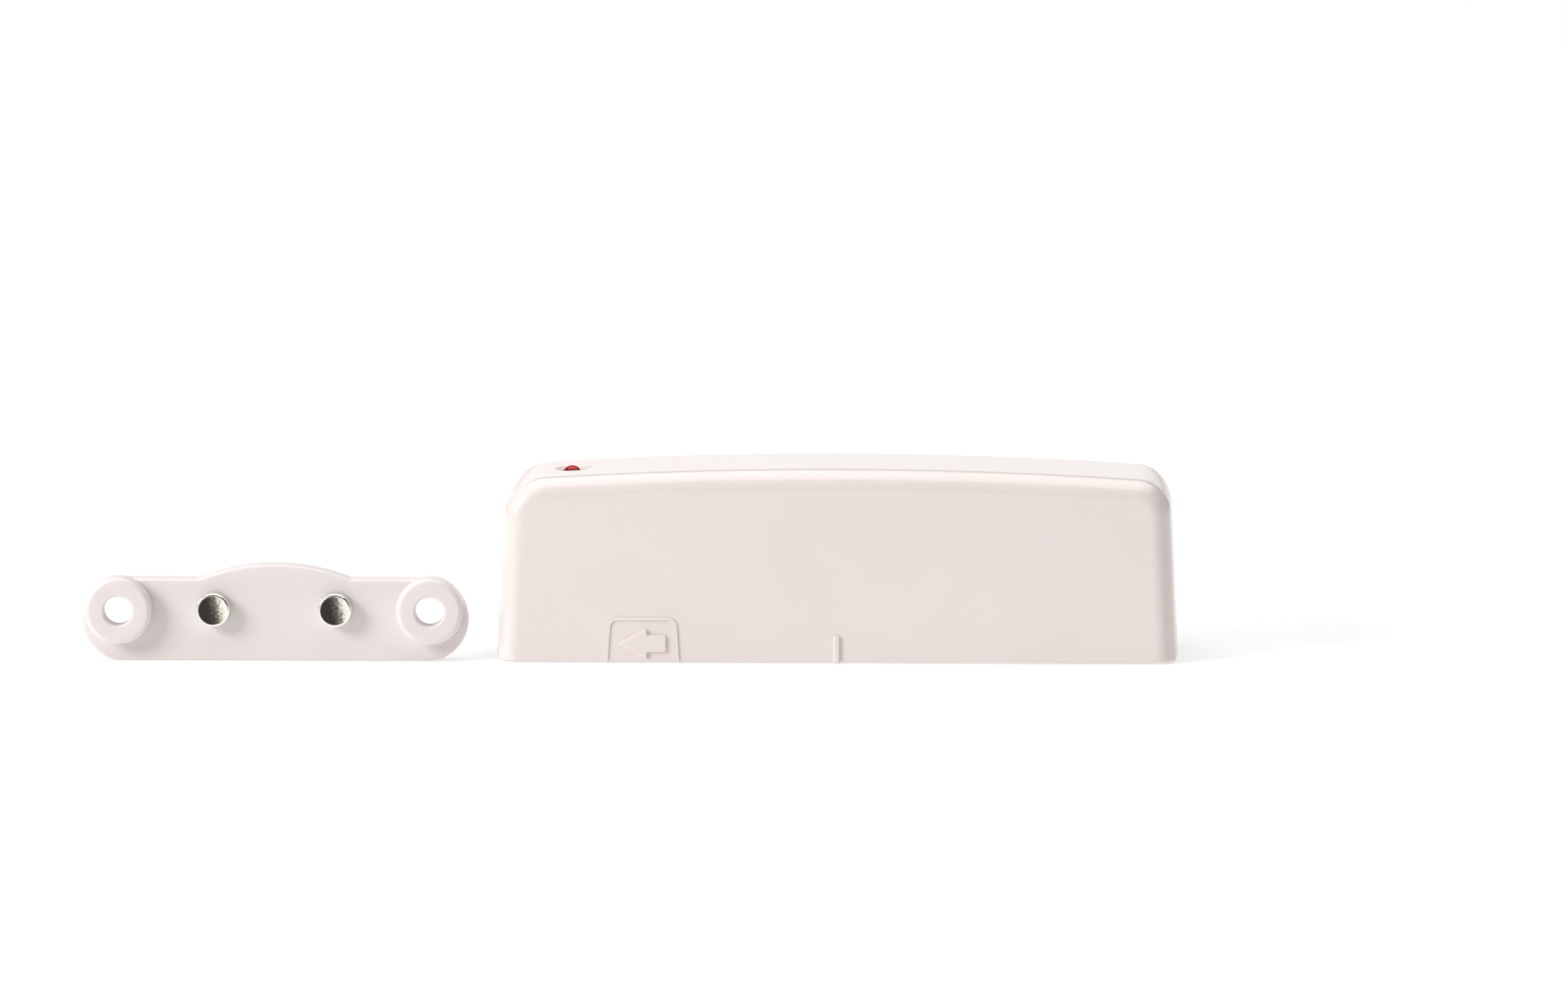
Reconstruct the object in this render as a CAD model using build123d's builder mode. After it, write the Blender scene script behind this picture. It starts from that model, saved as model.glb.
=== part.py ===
from build123d import *
from math import cos, radians, sin, sqrt, tan
import os

os.makedirs("parts", exist_ok=True)

# Door contact sensor: a long sensor unit that lies on its back plate, and a magnet unit beside it.
# Frame: origin at the middle of the back plate's wall face, +Z towards the crowned front,
# +X along the sensor away from its status light, -Y towards the marked long side.

# ---------------------------------------------------------------- driving dimensions, mm
LENGTH = 101.0          # sensor, at its base
WIDTH = 24.0            # sensor, at its base
CREST_Z = 28.5          # wall face to the highest point of the front
RIM_Z = 0.2             # the cover's rim runs this far above the wall
DRAFT = 2.6             # degrees, on every outer wall
CROWN_R = 690.0         # lengthwise crown of the front
END_BULGE = 0.6         # crown of the two end faces in plan
LIGHT_END_ROUND = 6.8   # front to end face, at the end with the light
PLAIN_END_ROUND = 5.0   # front to end face, at the other end
EDGE_ROUND = 3.0        # front to long side, and the upright corners
RIM_ROUND = 0.4
WALL = 2.0

LIGHT_X = -39.4         # status light on the front
DISH_R = 3.0
DISH_DEPTH = 0.7
LIGHT_HOLE_R = 1.65

TAB_X = -28.7           # raised tab outline on the -Y side, open at the base
TAB_BOTTOM = 10.7
TAB_TOP = 9.7
TAB_HEIGHT = 6.4
TAB_LINE = 0.42
TAB_RISE = 0.2
TAB_CORNER = 1.2
ARROW_LENGTH = 7.1      # raised arrow inside the tab, pointing to -X
ARROW_HEAD = 4.3
ARROW_SPAN = 4.6
ARROW_SHAFT = 2.5
ARROW_Z = 2.75
MARK_RISE = 0.4
INDEX_WIDTH = 0.9       # raised alignment rib at mid-length
INDEX_HEIGHT = 4.0

PLATE_THICK = 2.0       # back plate
PLATE_LEFT = -47.0
PLATE_RIGHT = 43.5
PLATE_WIDTH = 19.2
SCREW_X = (-22.0, 38.0)
SCREW_SLOT_R = 2.1
SCREW_SLOT_LENGTH = 7.0
PLATE_CORNER = 2.0
PLATE_BEVEL = 0.3
HOOK_X = (-40.0, 12.0)  # left end of each hook
HOOK_LENGTH = 3.0
HOOK_POST_Y = 6.9
HOOK_POST_THICK = 1.2
HOOK_LIP_Y = 9.25
LEDGE_LOW = 2.4         # ledges inside the cover that the hooks hold
LEDGE_HIGH = 3.6
LEDGE_INNER_Y = 8.4
HOOK_GAP = 0.2
RELEASE_TRAVEL = 3.5    # the cover slides this far to -X to come off the hooks

BOARD_LENGTH = 91.0
BOARD_WIDTH = 17.0
BOARD_LOW = 20.3
BOARD_THICK = 1.6
BOARD_TOP = BOARD_LOW + BOARD_THICK
BOARD_SCREWS = ((-23.0, 0.0), (41.0, -4.0))

CELL_X = 17.0           # middle of the cell
CELL_R = 8.5
CELL_LENGTH = 34.5
CELL_Z = BOARD_LOW - 0.9 - CELL_R
CELL_LEFT = CELL_X - CELL_LENGTH / 2
CELL_RIGHT = CELL_X + CELL_LENGTH / 2
CUP_FLOOR = 0.85        # battery cradle
CUP_END = 1.2
SPRING_ROOM = 4.4

TAMPER_X = -31.0
TAMPER_DROP = 1.0       # the plunger drops this far over the release travel
TAMPER_TIP_R = 1.3
TAMPER_TIP_Z = 12.1
TAMPER_BODY_DEPTH = 4.0

LEARN_X, LEARN_Y = -13.0, 3.8
LEARN_TRAVEL = 0.25

REED_Y = -6.4
REED_Z = BOARD_TOP + 1.5

MAGNET_X = -83.0        # magnet unit, middle
HOLDER_FACE_Y = -11.0   # its face between the bosses
HOLDER_THICK = 4.0
HOLDER_END_R = 6.1
HOLDER_CENTRES = 45.0   # between the centres of its two round ends
HOLDER_HUMP = 2.15      # the long edge rises by this at mid-length
HOLDER_HUMP_CHORD = 22.4
BOSS_R = 4.95
BOSS_RISE = 2.5
BOSS_SPACING = 46.0
BOSS_Z = 7.7
BOSS_HOLE_R = 2.15
BOSS_SINK_R = 3.9
DISC_R = 2.5            # nickel-plated disc magnets
DISC_LENGTH = 5.0
DISC_RISE = 2.0
DISC_SPACING = 18.0
DISC_Z = 7.8


def front_z(x, crest=CREST_Z):
    """Height of the crowned front above the wall at a distance x from mid-length."""
    return crest - (CROWN_R - sqrt(CROWN_R**2 - x**2))


def save(builder, label):
    """Name a finished piece and write it."""
    builder.part.label = label
    export_step(builder.part, f"parts/{label}.step")


def casing_form(length, width, crest, end_rounds, edge_round):
    """A drafted block with bulged ends, a crowned front and rounded edges, standing on the rim plane."""
    half_x = length / 2
    half_y = width / 2
    corner_x = half_x - END_BULGE
    with BuildPart() as form:
        with BuildSketch(Plane.XY.offset(RIM_Z)):
            with BuildLine():
                Line((-corner_x, -half_y), (corner_x, -half_y))
                ThreePointArc((corner_x, -half_y), (half_x, 0), (corner_x, half_y))
                Line((corner_x, half_y), (-corner_x, half_y))
                ThreePointArc((-corner_x, half_y), (-half_x, 0), (-corner_x, -half_y))
            make_face()
        extrude(amount=crest + 2, taper=DRAFT)
        with BuildSketch(Plane.XZ):
            with BuildLine():
                ThreePointArc((-length, front_z(length, crest)), (0, crest), (length, front_z(length, crest)))
                Line((length, front_z(length, crest)), (length, 2 * crest))
                Line((length, 2 * crest), (-length, 2 * crest))
                Line((-length, 2 * crest), (-length, front_z(length, crest)))
            make_face()
        extrude(amount=width, both=True, mode=Mode.SUBTRACT)
        for end, end_round in zip((0, -1), end_rounds):
            front = form.faces().sort_by(Axis.Z)[-1]
            fillet(front.edges().sort_by(Axis.X)[end], radius=end_round)
        sides = form.faces().sort_by(Axis.Y)
        side_edges = [e for side in (sides[0], sides[-1]) for e in side.edges() if e.center().Z > RIM_Z + 0.1]
        fillet(side_edges, radius=edge_round)
    return form


# ---------------------------------------------------------------- marks on the long side
# The side plane: x along the sensor, y up the drafted side, z straight out of it.
side_plane = Plane(
    origin=(0, -WIDTH / 2, RIM_Z),
    x_dir=(1, 0, 0),
    z_dir=(0, -cos(radians(DRAFT)), sin(radians(DRAFT))),
)
MARK_ROOT = 0.6         # how deep a mark's own solid starts inside the wall
MARK_SOFT = 0.18        # rounding of the raised arrow and rib
MARK_CORNER = 0.25      # their corners in outline
BELOW_RIM = 1.0         # marks that reach the rim are drawn past it and cut off there

with BuildPart() as tab_mark:
    with BuildSketch(side_plane.offset(-MARK_ROOT)):
        with BuildLine():
            outline = FilletPolyline(
                (TAB_X - TAB_BOTTOM / 2, -BELOW_RIM),
                (TAB_X - TAB_TOP / 2, TAB_HEIGHT),
                (TAB_X + TAB_TOP / 2, TAB_HEIGHT),
                (TAB_X + TAB_BOTTOM / 2, -BELOW_RIM),
                radius=TAB_CORNER,
            )
        trace(outline, line_width=TAB_LINE)
    extrude(amount=MARK_ROOT + TAB_RISE)

head_x = TAB_X - ARROW_LENGTH / 2
neck_x = head_x + ARROW_HEAD
tail_x = head_x + ARROW_LENGTH
with BuildPart() as arrow_mark:
    with BuildSketch(side_plane.offset(-MARK_ROOT)):
        with BuildLine():
            Polyline(
                (head_x, ARROW_Z),
                (neck_x, ARROW_Z + ARROW_SPAN / 2),
                (neck_x, ARROW_Z + ARROW_SHAFT / 2),
                (tail_x, ARROW_Z + ARROW_SHAFT / 2),
                (tail_x, ARROW_Z - ARROW_SHAFT / 2),
                (neck_x, ARROW_Z - ARROW_SHAFT / 2),
                (neck_x, ARROW_Z - ARROW_SPAN / 2),
                close=True,
            )
        make_face()
        fillet(vertices(), radius=MARK_CORNER)
    extrude(amount=MARK_ROOT + MARK_RISE)
    fillet(arrow_mark.faces().sort_by(Axis.Y)[0].edges(), radius=MARK_SOFT)

with BuildPart() as index_mark:
    with BuildSketch(side_plane.offset(-MARK_ROOT)):
        with Locations((0, (INDEX_HEIGHT - BELOW_RIM) / 2)):
            RectangleRounded(INDEX_WIDTH, INDEX_HEIGHT + BELOW_RIM, radius=MARK_CORNER)
    extrude(amount=MARK_ROOT + MARK_RISE)
    fillet(index_mark.faces().sort_by(Axis.Y)[0].edges(), radius=MARK_SOFT)

# ---------------------------------------------------------------- cover
end_rounds = (LIGHT_END_ROUND, PLAIN_END_ROUND)
inner_rounds = [end_round - WALL for end_round in end_rounds]
outer_form = casing_form(LENGTH, WIDTH, CREST_Z, end_rounds, EDGE_ROUND)
inner_form = casing_form(LENGTH - 2 * WALL, WIDTH - 2 * WALL, CREST_Z - WALL, inner_rounds, EDGE_ROUND - WALL)

light_crest = front_z(LIGHT_X)
dish_ball_r = (DISH_R**2 + DISH_DEPTH**2) / (2 * DISH_DEPTH)
LEDGE_SPARE = 0.5
ledge_length = HOOK_LENGTH + RELEASE_TRAVEL + LEDGE_SPARE
ROOT = 0.4              # how far a rib, ledge or boss runs into the wall that it grows from
BOARD_BOSS_R = 2.4
BOARD_PILOT_R = 0.8
REST_RIB_X = (-15.0, 15.0, 30.0)
REST_RIB_THICK = 1.0
REST_RIB_DEPTH = 1.6
REST_RIB_HEIGHT = 4.5
rib_wall_y = WIDTH / 2 - WALL - (BOARD_TOP + REST_RIB_HEIGHT / 2) * tan(radians(DRAFT))

with BuildPart() as cover:
    add(outer_form.part)
    fillet(cover.edges().group_by(Axis.Z)[0], radius=RIM_ROUND)
    for mark in (tab_mark, arrow_mark, index_mark):
        add(mark.part)
    split(bisect_by=Plane.XY.offset(RIM_Z), keep=Keep.TOP)
    add(inner_form.part, mode=Mode.SUBTRACT)
    # the status light's dish and hole
    with Locations((LIGHT_X, 0, light_crest - DISH_DEPTH + dish_ball_r)):
        Sphere(dish_ball_r, mode=Mode.SUBTRACT)
    with Locations((LIGHT_X, 0, light_crest)):
        Hole(LIGHT_HOLE_R, depth=2 * WALL)
    # bosses that the board is screwed to, up to the inside of the front
    for boss_x, boss_y in BOARD_SCREWS:
        with BuildSketch(Plane.XY.offset(BOARD_TOP)):
            with Locations((boss_x, boss_y)):
                Circle(BOARD_BOSS_R)
                Circle(BOARD_PILOT_R, mode=Mode.SUBTRACT)
        extrude(amount=front_z(boss_x, CREST_Z - WALL) - BOARD_TOP + ROOT)
    # ribs that the board's edges rest against
    for rib_side in (-1, 1):
        rib_y = rib_side * (rib_wall_y + ROOT - REST_RIB_DEPTH / 2)
        with BuildSketch(Plane.XY.offset(BOARD_TOP)):
            with Locations(*[(rib_x, rib_y) for rib_x in REST_RIB_X]):
                Rectangle(REST_RIB_THICK, REST_RIB_DEPTH)
        extrude(amount=REST_RIB_HEIGHT)
    # ledges that the back plate's hooks hold
    for ledge_side in (-1, 1):
        with BuildSketch(Plane.XY.offset(LEDGE_LOW)):
            for hook_x in HOOK_X:
                ledge_x = hook_x + HOOK_LENGTH - ledge_length / 2
                ledge_depth = WIDTH / 2 - WALL - LEDGE_INNER_Y + ROOT
                with Locations((ledge_x, ledge_side * (LEDGE_INNER_Y + ledge_depth / 2))):
                    Rectangle(ledge_length, ledge_depth)
        extrude(amount=LEDGE_HIGH - LEDGE_LOW)
save(cover, "cover")

# ---------------------------------------------------------------- back plate
RAMP_CLEAR = 0.12       # straight down from the plunger's tip to the ramp
RAMP_WIDTH = 4.0
RAMP_MARGIN = 1.65      # ramp beyond the plunger's middle at each end of its travel
RAMP_FOOT = 1.0         # thickness of the cross walls that stiffen the ramp
RAMP_FOOT_IN = 1.2
RAMP_FOOT_WIDTH = 9.0
RAMP_FOOT_HIGH = 5.0
HOOK_ROOT = 0.5
HOOK_BEVEL = 0.6
HOOK_LIP = 1.3
PLATE_RIB_X = -6.0
PLATE_RIB = (30.0, 1.0, 0.8)
ramp_slope = TAMPER_DROP / RELEASE_TRAVEL
ramp_left = TAMPER_X - RELEASE_TRAVEL - RAMP_MARGIN
ramp_right = TAMPER_X + RAMP_MARGIN
ramp_base = TAMPER_TIP_Z - RAMP_CLEAR - TAMPER_X * ramp_slope
hook_root_z = PLATE_THICK - HOOK_ROOT
hook_low = LEDGE_HIGH + HOOK_GAP
hook_top = hook_low + HOOK_LIP
hook_back_y = HOOK_POST_Y + HOOK_POST_THICK

with BuildPart() as back_plate:
    plate_middle = (PLATE_LEFT + PLATE_RIGHT) / 2
    with BuildSketch():
        with Locations((plate_middle, 0)):
            RectangleRounded(PLATE_RIGHT - PLATE_LEFT, PLATE_WIDTH, radius=PLATE_CORNER)
    extrude(amount=PLATE_THICK)
    chamfer(back_plate.edges().group_by(Axis.Z)[-1], length=PLATE_BEVEL)
    # screw slots
    with BuildSketch(Plane.XY.offset(PLATE_THICK)):
        with Locations(*[(screw_x, 0) for screw_x in SCREW_X]):
            SlotOverall(SCREW_SLOT_LENGTH, 2 * SCREW_SLOT_R)
    extrude(amount=-PLATE_THICK, mode=Mode.SUBTRACT)
    # hooks, two along each long side
    for hook_side in (-1, 1):
        for hook_x in HOOK_X:
            with BuildSketch(Plane.YZ.offset(hook_x)):
                with BuildLine():
                    Polyline(
                        (hook_side * HOOK_POST_Y, hook_root_z),
                        (hook_side * HOOK_POST_Y, hook_top),
                        (hook_side * (HOOK_LIP_Y - HOOK_BEVEL), hook_top),
                        (hook_side * HOOK_LIP_Y, hook_top - HOOK_BEVEL),
                        (hook_side * HOOK_LIP_Y, hook_low),
                        (hook_side * hook_back_y, hook_low),
                        (hook_side * hook_back_y, hook_root_z),
                        close=True,
                    )
                make_face()
            extrude(amount=HOOK_LENGTH)
    # stiffening ribs between the hooks
    with BuildSketch(Plane.XY.offset(PLATE_THICK)):
        with Locations((PLATE_RIB_X, -HOOK_POST_Y), (PLATE_RIB_X, HOOK_POST_Y)):
            SlotOverall(PLATE_RIB[0], PLATE_RIB[1])
    extrude(amount=PLATE_RIB[2])
    # the ramp that the tamper plunger rides down as the cover is slid off
    with BuildSketch(Plane.XZ):
        with BuildLine():
            Polyline(
                (ramp_left, hook_root_z),
                (ramp_left, ramp_base + ramp_left * ramp_slope),
                (ramp_right, ramp_base + ramp_right * ramp_slope),
                (ramp_right, hook_root_z),
                close=True,
            )
        make_face()
    extrude(amount=RAMP_WIDTH / 2, both=True)
    with BuildSketch(Plane.XY.offset(PLATE_THICK)):
        with Locations((ramp_left + RAMP_FOOT_IN, 0), (ramp_right - RAMP_FOOT_IN, 0)):
            Rectangle(RAMP_FOOT, RAMP_FOOT_WIDTH)
    extrude(amount=RAMP_FOOT_HIGH)
save(back_plate, "back_plate")

# ---------------------------------------------------------------- board screws
SCREW_HEAD = 1.3
SCREW_HEAD_R = 1.9
SCREW_HEAD_ROUND = 0.5
SCREW_SHANK_R = 1.0
SCREW_THREAD_R = BOARD_PILOT_R - 0.02
SCREW_GRIP = 2.4
CROSS_LENGTH = 2.4      # cross recess in the head
CROSS_WIDTH = 0.5
CROSS_DEPTH = 0.7

with BuildPart() as board_screws:
    for screw_x, screw_y in BOARD_SCREWS:
        with Locations((screw_x, screw_y, BOARD_LOW - SCREW_HEAD)):
            Cylinder(SCREW_HEAD_R, SCREW_HEAD, align=(Align.CENTER, Align.CENTER, Align.MIN))
        with Locations((screw_x, screw_y, BOARD_LOW)):
            Cylinder(SCREW_SHANK_R, BOARD_THICK, align=(Align.CENTER, Align.CENTER, Align.MIN))
        with Locations((screw_x, screw_y, BOARD_TOP)):
            Cylinder(SCREW_THREAD_R, SCREW_GRIP, align=(Align.CENTER, Align.CENTER, Align.MIN))
    fillet(board_screws.edges().filter_by(GeomType.CIRCLE).group_by(Axis.Z)[0], radius=SCREW_HEAD_ROUND)
    for screw_x, screw_y in BOARD_SCREWS:
        with Locations((screw_x, screw_y, BOARD_LOW - SCREW_HEAD)):
            Box(CROSS_LENGTH, CROSS_WIDTH, 2 * CROSS_DEPTH, mode=Mode.SUBTRACT)
            Box(CROSS_WIDTH, CROSS_LENGTH, 2 * CROSS_DEPTH, mode=Mode.SUBTRACT)
save(board_screws, "board_screws")

# ---------------------------------------------------------------- status light
LIGHT_R = 1.5
LIGHT_PROUD = 0.4
LIGHT_TOP = light_crest + LIGHT_PROUD
LIGHT_LENGTH = 5.2
LIGHT_FLANGE_R = 1.9
LIGHT_FLANGE = 1.0
LEG_PITCH = 2.54
LEG = 0.5
LEG_TAIL = 1.0
light_base = LIGHT_TOP - LIGHT_LENGTH

with BuildPart() as status_led:
    with Locations((LIGHT_X, 0, light_base)):
        Cylinder(LIGHT_FLANGE_R, LIGHT_FLANGE, align=(Align.CENTER, Align.CENTER, Align.MIN))
        Cylinder(LIGHT_R, LIGHT_LENGTH - LIGHT_R, align=(Align.CENTER, Align.CENTER, Align.MIN))
    with Locations((LIGHT_X, 0, LIGHT_TOP - LIGHT_R)):
        Sphere(LIGHT_R)
save(status_led, "status_led")

with BuildPart() as led_leads:
    with BuildSketch(Plane.XY.offset(BOARD_LOW - LEG_TAIL)):
        with Locations((LIGHT_X - LEG_PITCH / 2, 0), (LIGHT_X + LEG_PITCH / 2, 0)):
            Rectangle(LEG, LEG)
    extrude(amount=light_base - BOARD_LOW + LEG_TAIL)
save(led_leads, "led_leads")

# ---------------------------------------------------------------- reed switch
GLASS_R = 1.0
GLASS_BORE_R = 0.72
GLASS_HALF = 7.0
GLASS_SHOULDER = 0.7
GLASS_SHOULDER_R = 0.75
SEAL = 1.4
SEAL_TAPER = 0.6
bore_half = GLASS_HALF - SEAL - SEAL_TAPER
REED_LEG_R = 0.25
REED_LEG_X = 10.5
REED_LEG_BEND = 0.8
REED_LEG_INSIDE = 0.2   # a leg ends this far inside the glass's bore
BLADE_THICK = 0.2
BLADE_WIDTH = 1.0
BLADE_LAP = 1.0
BLADE_GAP = 0.12
reed_plane = Plane(origin=(0, REED_Y, REED_Z), x_dir=(1, 0, 0), z_dir=(0, -1, 0))

with BuildPart() as reed_glass:
    with BuildSketch(reed_plane):
        with BuildLine():
            Line((-GLASS_HALF, REED_LEG_R), (-GLASS_HALF, GLASS_R / 2))
            RadiusArc((-GLASS_HALF, GLASS_R / 2), (-GLASS_HALF + GLASS_SHOULDER, GLASS_R), GLASS_SHOULDER_R)
            Line((-GLASS_HALF + GLASS_SHOULDER, GLASS_R), (GLASS_HALF - GLASS_SHOULDER, GLASS_R))
            RadiusArc((GLASS_HALF - GLASS_SHOULDER, GLASS_R), (GLASS_HALF, GLASS_R / 2), GLASS_SHOULDER_R)
            Polyline(
                (GLASS_HALF, GLASS_R / 2),
                (GLASS_HALF, REED_LEG_R),
                (GLASS_HALF - SEAL, REED_LEG_R),
                (bore_half, GLASS_BORE_R),
                (-bore_half, GLASS_BORE_R),
                (-GLASS_HALF + SEAL, REED_LEG_R),
                (-GLASS_HALF, REED_LEG_R),
            )
        make_face()
    revolve(axis=Axis((0, REED_Y, REED_Z), (1, 0, 0)))
save(reed_glass, "reed_glass")

with BuildPart() as reed_blades:
    for side in (-1, 1):
        with BuildLine():
            leg_path = FilletPolyline(
                (side * REED_LEG_X, REED_Y, BOARD_LOW - LEG_TAIL),
                (side * REED_LEG_X, REED_Y, REED_Z),
                (side * (bore_half - REED_LEG_INSIDE), REED_Y, REED_Z),
                radius=REED_LEG_BEND,
            )
        with BuildSketch(Plane(origin=leg_path @ 0, z_dir=leg_path % 0)):
            Circle(REED_LEG_R)
        sweep(path=leg_path)
        blade_length = bore_half + BLADE_LAP / 2
        blade_middle = side * (blade_length / 2 - BLADE_LAP / 2)
        blade_z = REED_Z + side * (BLADE_GAP + BLADE_THICK) / 2
        with Locations((blade_middle, REED_Y, blade_z)):
            Box(blade_length, BLADE_WIDTH, BLADE_THICK)
save(reed_blades, "reed_blades")

# ---------------------------------------------------------------- lithium cell
SLEEVE = 0.1
NUB_R = 3.2
NUB = 1.0
SLEEVE_LIP_R = 7.0
CAN_ROUND = 0.5
NUB_ROUND = 0.3
along_x = Plane.YZ

with BuildPart() as cell_can:
    with BuildSketch(along_x.offset(CELL_LEFT + SLEEVE)):
        with Locations((0, CELL_Z)):
            Circle(CELL_R - SLEEVE)
    extrude(amount=CELL_LENGTH - NUB - 2 * SLEEVE)
    fillet(cell_can.edges().group_by(Axis.X)[0], radius=CAN_ROUND)
    with BuildSketch(along_x.offset(CELL_RIGHT - NUB - SLEEVE)):
        with Locations((0, CELL_Z)):
            Circle(NUB_R)
    extrude(amount=NUB + SLEEVE)
    fillet(cell_can.edges().group_by(Axis.X)[-1], radius=NUB_ROUND)
save(cell_can, "cell_can")

with BuildPart() as cell_sleeve:
    with BuildSketch(along_x.offset(CELL_LEFT)):
        with Locations((0, CELL_Z)):
            Circle(CELL_R)
    extrude(amount=CELL_LENGTH - NUB)
    with BuildSketch(along_x.offset(CELL_LEFT + SLEEVE)):
        with Locations((0, CELL_Z)):
            Circle(CELL_R - SLEEVE)
    extrude(amount=CELL_LENGTH - NUB - 2 * SLEEVE, mode=Mode.SUBTRACT)
    with BuildSketch(along_x.offset(CELL_LEFT)):
        with Locations((0, CELL_Z)):
            Circle(SLEEVE_LIP_R)
    extrude(amount=CELL_LENGTH, mode=Mode.SUBTRACT)
save(cell_sleeve, "cell_sleeve")

# ---------------------------------------------------------------- battery cradle and contacts
PLUS_ROOM = 1.0
cup_left = CELL_LEFT - SPRING_ROOM - CUP_END
cup_right = CELL_RIGHT + PLUS_ROOM + CUP_END
CUP_HALF = 8.0
CUP_LOW = 5.2
CUP_FLOOR_CORNER = 0.6
CUP_END_CORNER = 2.0
ARM_INNER_R = CELL_R + 0.1
ARM_OUTER_R = 9.2
ARM_WIDTH = 5.0
ARM_LOW = 7.2
ARM_OFFSET = 9.0
ARM_GAP = 5.0           # each arm is two fingers with this gap over the cell's top
CONTACT_THICK = 0.3
CONTACT_SIZE = 9.0
CONTACT_CORNER = 1.2
CONTACT_WIDTH = 2.4
CONTACT_TAIL = 0.8
DIMPLE_R = 2.0
DIMPLE_TAPER = 30
DIMPLE_CLEAR = 0.05
SLOT_ROOM = 0.2         # play round a contact's tail in the board and the cradle
LEG_NOTCH = (1.6, 0.8)  # notch for the reed switch's leg: its width, and its room past the leg
minus_x = cup_left + CUP_END
plus_x = cup_right - CUP_END - CONTACT_THICK
contact_tabs = ((minus_x + CONTACT_THICK / 2, 0), (plus_x + CONTACT_THICK / 2, 0))

with BuildPart() as battery_cradle:
    floor_low = BOARD_LOW - CUP_FLOOR
    with BuildSketch(Plane.XY.offset(floor_low)):
        with Locations(((cup_left + cup_right) / 2, 0)):
            RectangleRounded(cup_right - cup_left, 2 * CUP_HALF, radius=CUP_FLOOR_CORNER)
    extrude(amount=CUP_FLOOR)
    for wall_left in (cup_left, cup_right - CUP_END):
        with BuildSketch(along_x.offset(wall_left)):
            with Locations((0, (CUP_LOW + floor_low) / 2)):
                Rectangle(2 * CUP_HALF, floor_low - CUP_LOW)
            fillet(vertices().group_by(Axis.Z)[0], radius=CUP_END_CORNER)
        extrude(amount=CUP_END)
    for arm_x in (CELL_X - ARM_OFFSET, CELL_X + ARM_OFFSET):
        with BuildSketch(along_x.offset(arm_x - ARM_WIDTH / 2)):
            with Locations((0, CELL_Z)):
                Circle(ARM_OUTER_R)
                Circle(ARM_INNER_R, mode=Mode.SUBTRACT)
            with Locations((0, ARM_LOW - ARM_OUTER_R)):
                Rectangle(2 * ARM_OUTER_R, 2 * ARM_OUTER_R, mode=Mode.SUBTRACT)
            with Locations((0, CELL_Z)):
                Rectangle(ARM_GAP, 4 * ARM_OUTER_R, mode=Mode.SUBTRACT)
        extrude(amount=ARM_WIDTH)
    with BuildSketch(Plane.XY.offset(floor_low - 1)):
        with Locations(*contact_tabs):
            Rectangle(CONTACT_THICK + SLOT_ROOM, CONTACT_WIDTH + SLOT_ROOM)
        with Locations((REED_LEG_X, -CUP_HALF)):
            Rectangle(LEG_NOTCH[0], 2 * (CUP_HALF + REED_Y + LEG_NOTCH[1]))
    extrude(amount=CUP_FLOOR + 2, mode=Mode.SUBTRACT)
save(battery_cradle, "battery_cradle")


def contact_plate(plate_left):
    """A flat spring-steel plate against a cradle end wall, with a solder tab through the board."""
    with BuildPart() as plate:
        with BuildSketch(along_x.offset(plate_left)):
            with Locations((0, CELL_Z)):
                RectangleRounded(CONTACT_SIZE, CONTACT_SIZE, radius=CONTACT_CORNER)
            with Locations((0, (CELL_Z + BOARD_TOP + CONTACT_TAIL) / 2)):
                Rectangle(CONTACT_WIDTH, BOARD_TOP + CONTACT_TAIL - CELL_Z)
        extrude(amount=CONTACT_THICK)
    return plate


minus_plate = contact_plate(minus_x)
save(minus_plate, "minus_plate")

plus_form = contact_plate(plus_x)
with BuildPart() as plus_contact:
    add(plus_form.part)
    # a pressed dimple that touches the cell's cap
    with BuildSketch(along_x.offset(plus_x)):
        with Locations((0, CELL_Z)):
            Circle(DIMPLE_R)
    extrude(amount=-(plus_x - CELL_RIGHT - DIMPLE_CLEAR), taper=DIMPLE_TAPER)
save(plus_contact, "plus_contact")

MINUS_WIRE_R = 0.3
MINUS_PITCH = 1.05
MINUS_COIL_R = 3.6
MINUS_CONE = -18
minus_coil_left = minus_x + CONTACT_THICK + MINUS_WIRE_R
minus_coil_right = CELL_LEFT - MINUS_WIRE_R
with BuildPart() as minus_spring:
    with BuildLine():
        minus_path = Helix(
            pitch=MINUS_PITCH,
            height=minus_coil_right - minus_coil_left,
            radius=MINUS_COIL_R,
            center=(minus_coil_left, 0, CELL_Z),
            direction=(1, 0, 0),
            cone_angle=MINUS_CONE,
        )
    with BuildSketch(Plane(origin=minus_path @ 0, z_dir=minus_path % 0)):
        Circle(MINUS_WIRE_R)
    sweep(path=minus_path)
save(minus_spring, "minus_spring")

# ---------------------------------------------------------------- control chip
CHIP_X = -31.0
CHIP = 7.0
CHIP_HIGH = 1.1
CHIP_LIFT = 0.1
PIN_PITCH = 0.8
PIN_WIDTH = 0.32
PIN_THICK = 0.13
PIN_OUT = 1.0
PINS_PER_SIDE = 8
PIN_SHOULDER = 0.35     # height of a pin's shoulder over the chip's underside
PIN_KNEE = (0.35, 0.6)  # where a pin turns down and where it turns out, from the chip's side
CHIP_BEVEL = 0.15
CHIP_DOT_R = 0.4
CHIP_DOT_IN = 1.0
CHIP_DOT_DEEP = 0.05

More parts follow.
